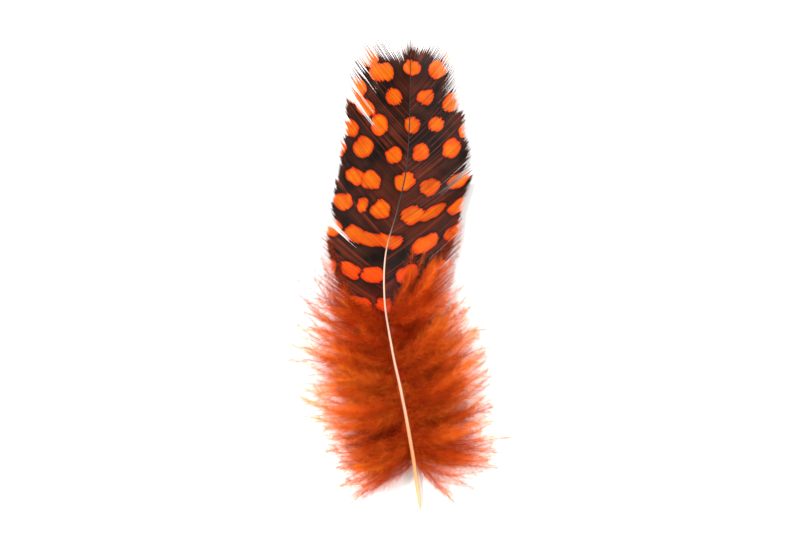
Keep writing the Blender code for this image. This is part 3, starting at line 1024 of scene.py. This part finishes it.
class Down:
    """Gathers the stems and barbules of many down barbs into one mesh."""

    def __init__(self):
        self.count = 0
        self.points, self.light, self.hue, self.aside = [], [], [], []
        self.quads, self.tris = [], []

    def take(self, points, light, hue, aside):
        """Keeps some points and says at which number they begin."""
        base = self.count
        line = shaft_at(points[:, 1])
        beside = np.abs(points[:, 0] - line[:, 0])
        # the down leaves the shaft at its flanks and crosses neither its top nor its underside
        covered = smooth_step(*FLANK_ZONE, beside) * (points[:, 2] > line[:, 2] - SHAFT_REACH)
        points[:, 2] += (line[:, 2] - SHAFT_FLANK - points[:, 2]) * covered
        # painted shade and painted light: the tone is capped lower inside the plume near the shaft and
        # lifted towards its outer rim
        painted_light_cap = 0.78 + 0.22 * smooth_step(8, 15, beside)
        self.points.append(points)
        self.light.append(np.clip(light + 0.12 * smooth_step(10, 17, beside), 0, painted_light_cap))
        self.hue.append(np.clip(hue, 0, 1))
        self.aside.append(np.resize(aside, len(points)))
        self.count += len(points)
        return base

    def stem(self, line, light, hue):
        """A barb's own thin rod, three-sided and tapering."""
        steps = BARB_POINTS + 2
        places = np.linspace(0, 1, steps)
        spot, way = bend_along(line, places)
        turn = np.radians(STEM_TURNS)
        size = STEM_RADIUS * (1 - STEM_TAPER * places)
        rings = ring_points(spot, way, (np.cos(turn), np.sin(turn)), size, size)
        # darker towards the root near the shaft: partly the down's own deeper colour, partly painted
        # shade deep in the plume
        tone = light * (0.2 + 0.95 * np.repeat(places, STEM_SIDES))
        hues = np.full(steps * STEM_SIDES, hue)
        base = self.take(rings, tone, hues, STEM_ASIDE)
        self.quads.append(ring_quads([base], steps, STEM_SIDES))
        last = base + (steps - 1) * STEM_SIDES
        self.tris.append(np.array([[base + 2, base + 1, base], [last, last + 1, last + 2]]))

    def barbules(self, line, number, longest, light, hue, rng, even=False, spread=0.8):
        """Fine bent hairs on both sides of a line, evenly or more of them near its root."""
        at = rng.uniform(0.02, 1, number) if even else 1 - rng.power(1.15, number) * 0.97
        root, way = bend_along(line, at)
        side, over = across_and_over(way)
        around = rng.normal(0, spread, number) + np.where(rng.random(number) < 0.5, 0, math.pi)
        out = np.cos(around)[:, None] * side + np.sin(around)[:, None] * over
        lean = np.radians(rng.normal(*BARBULE_LEAN, number))[:, None]
        start_way = np.cos(lean) * way + np.sin(lean) * out
        profile = (0.55 + 0.45 * smooth_step(0, 0.2, at)) * (1 - 0.55 * smooth_step(0.4, 1.0, at))
        size = (longest * rng.uniform(*BARBULE_SIZES, number) * profile)[:, None]
        later = np.radians(rng.normal(*BARBULE_LATER_LEAN, number))[:, None]
        end_way = np.cos(later) * way + np.sin(later) * out + rng.normal(0, 0.3, (number, 3))
        bend = size * rng.uniform(*BARBULE_BEND, (number, 1))
        middle = root + (start_way + rng.normal(0, 0.12, (number, 3))) * bend
        end = middle + end_way * (size - bend)
        flat = np.cross(start_way, rng.normal(0, 1, (number, 3)))
        flat *= BARBULE_HALF_WIDTH / np.maximum(np.linalg.norm(flat, axis=1)[:, None], TINY)
        narrow = flat * BARBULE_TAPER
        corners = np.stack([root - flat, root + flat, middle + narrow, middle - narrow, end], axis=1)
        knots = rng.normal(0, WISP_DEPTH, WISP_KNOTS)
        wisps = np.interp(at, np.linspace(0, 1, WISP_KNOTS), knots)
        # darker towards the barb's root near the shaft: partly the down's own deeper colour, partly
        # painted shade deep in the plume
        tone = (light * (0.15 + 0.75 * at) + wisps)[:, None] + BARBULE_TONES
        own = hue + rng.normal(0, 0.1, number) + END_YELLOWING * smooth_step(0.45, 1.0, at)
        hues = np.repeat(own, BARBULE_CORNERS)
        base = self.take(corners.reshape(-1, 3), tone.ravel(), hues, BARBULE_ASIDE)
        first = (base + np.arange(number) * BARBULE_CORNERS)[:, None]
        self.quads.append(first + np.array([0, 1, 2, 3]))
        self.tris.append(first + np.array([3, 2, 4]))

    def lock(self, side, root, lean, rise, length, tone, tint, rng, barbs, stem_line):
        """A lock of barbs that wander apart and draw together again at their ends."""
        centre = lock_line(root, side, lean, rise, length)
        share = np.linspace(0, 1, BARB_POINTS)
        for _ in range(barbs):
            start = stem_line(root[1] + rng.uniform(-BARB_ROOTS_SPREAD, BARB_ROOTS_SPREAD))[0]
            own_length = length * rng.uniform(*BARB_LENGTHS)
            own_lean = lean + rng.normal(0, BARB_SPREAD)
            own_rise = rise + rng.normal(0, BARB_SPREAD)
            line = wander_path(start, side, own_lean, own_rise, own_length, rng)
            middle, _way = bend_along(centre, np.clip(share * own_length / length, 0, 1))
            pull = (CLUMPING * smooth_step(0.05, 0.9, share) * rng.uniform(0.5, 1.2))[:, None]
            line = line * (1 - pull) + middle * pull
            line[:, 2] = np.maximum(line[:, 2], LOWEST_BARB)
            light = min(tone + rng.normal(0, BARB_TONE_SPREAD), BRIGHTEST_BARB)
            hue = float(np.clip(tint + rng.normal(0, BARB_TINT_SPREAD), *BARB_TINTS))
            self.stem(line, light, hue)
            number = int(own_length * BARBULES_PER_MM)
            longest = BARBULE_LENGTH * rng.uniform(0.8, 1.15)
            self.barbules(line, number, longest, light, hue, rng)

    def build(self, name, material):
        points = np.concatenate(self.points)
        points[:, 2] = np.maximum(points[:, 2], LOWEST_POINT)
        light = np.concatenate(self.light)
        hue = np.concatenate(self.hue)
        across = MAP_WIDTH * np.concatenate(self.aside)
        scale = 1 - 2 * MAP_MARGIN
        uv = np.column_stack([MAP_MARGIN + scale * hue + across, MAP_MARGIN + scale * light])
        faces = [np.concatenate(self.quads), np.concatenate(self.tris)]
        mesh_object(name, points, faces, {"light": light, "hue": hue}, uv, material)


def piece_of(side, part):
    return f"down_{'left' if side < 0 else 'right'}_{part}"


def grow_locks(pieces, rng):
    """The locks of both plumes; over the dark vane the main one's are darker and redder."""
    for plume, side, root, lean, rise, length in lock_plan():
        part = "low" if root[1] < DOWN_PARTED_AT else "high"
        name = piece_of(side, part) if plume == "main" else "aftershaft_down"
        stem_line = shaft_at if plume == "main" else aftershaft_line
        middle_tone, tone_spread = LOCK_TONE[plume]
        tone = middle_tone + rng.normal(0, tone_spread)
        tint = rng.normal(*LOCK_TINT[plume])
        if plume == "main":
            darker = HIGH_DARKER * float(smooth_step(*HIGH_DARKER_ZONE, root[1]))
            # painted light and shade by the lock's rise: lighter when it rises, darker when it lies low
            tone += RISE_PAINTED_LIGHT * rise - darker
            tint -= HIGH_REDDER * float(smooth_step(*HIGH_REDDER_ZONE, root[1]))
        barbs = BARBS_PER_LOCK[plume]
        pieces[name].lock(side, root, lean, rise, length, tone, tint, rng, barbs, stem_line)


def grow_loose_ends(pieces, loose_ends, rng):
    """The lowest barbs of the vane carry barbules where their web has ended."""
    for side, lines in loose_ends.items():
        piece = pieces[piece_of(side, "high")]
        for line in lines:
            grown = np.clip((LOOSE_BELOW - line[0, 1]) / LOOSE_GROWTH, 0, 1)
            end = line[int((0.85 - 0.82 * grown) * (len(line) - 1)) :]
            reach = np.linalg.norm(np.diff(end, axis=0), axis=1).sum()
            number = int(reach * BARBULES_PER_MM * LOOSE_BARBULES)
            if number > 3:
                longest, light = 0.7 + 0.9 * grown, 0.25 + 0.25 * grown
                piece.barbules(end, number, longest, light, 0.3, rng, even=True)


def grow_root_fluff(pieces, rng):
    """Short fluff along both stems' flanks closes the gaps between the roots."""
    upper, lower = ROOT_FLUFF_DROPS
    for name, stem_line, low, high, drop in (
        ("down_left_low", shaft_at, DOWN_START, DOWN_PARTED_AT, upper),
        ("down_right_low", shaft_at, DOWN_START, DOWN_PARTED_AT, lower),
        ("down_left_high", shaft_at, DOWN_PARTED_AT, DOWN_END, upper),
        ("down_right_high", shaft_at, DOWN_PARTED_AT, DOWN_END, lower),
        ("aftershaft_down", aftershaft_line, AFTER_START, AFTER_END, upper),
    ):
        flank = stem_line(np.linspace(low, high, ROOT_FLUFF_STEPS)) - drop * UP
        number = int((high - low) * ROOT_FLUFF_PER_MM)
        length = ROOT_FLUFF_LENGTH
        pieces[name].barbules(flank, number, length, 0.4, 0.4, rng, even=True, spread=0.35)


def make_down(material, loose_ends):
    rng = np.random.default_rng(DOWN_SEED)
    names = [piece_of(side, part) for side in (-1, 1) for part in ("low", "high")]
    pieces = {name: Down() for name in (*names, "aftershaft_down")}
    grow_locks(pieces, rng)
    grow_loose_ends(pieces, loose_ends, rng)
    grow_root_fluff(pieces, rng)
    for name, piece in pieces.items():
        piece.build(name, material)


make_studio()
make_shaft(shaft_material())
web = vane_material()
vanes = {side: Vane(side) for side in (-1, 1)}
for vane in vanes.values():
    vane.build(web)
make_down(down_material(), {side: vane.loose_barbs() for side, vane in vanes.items()})
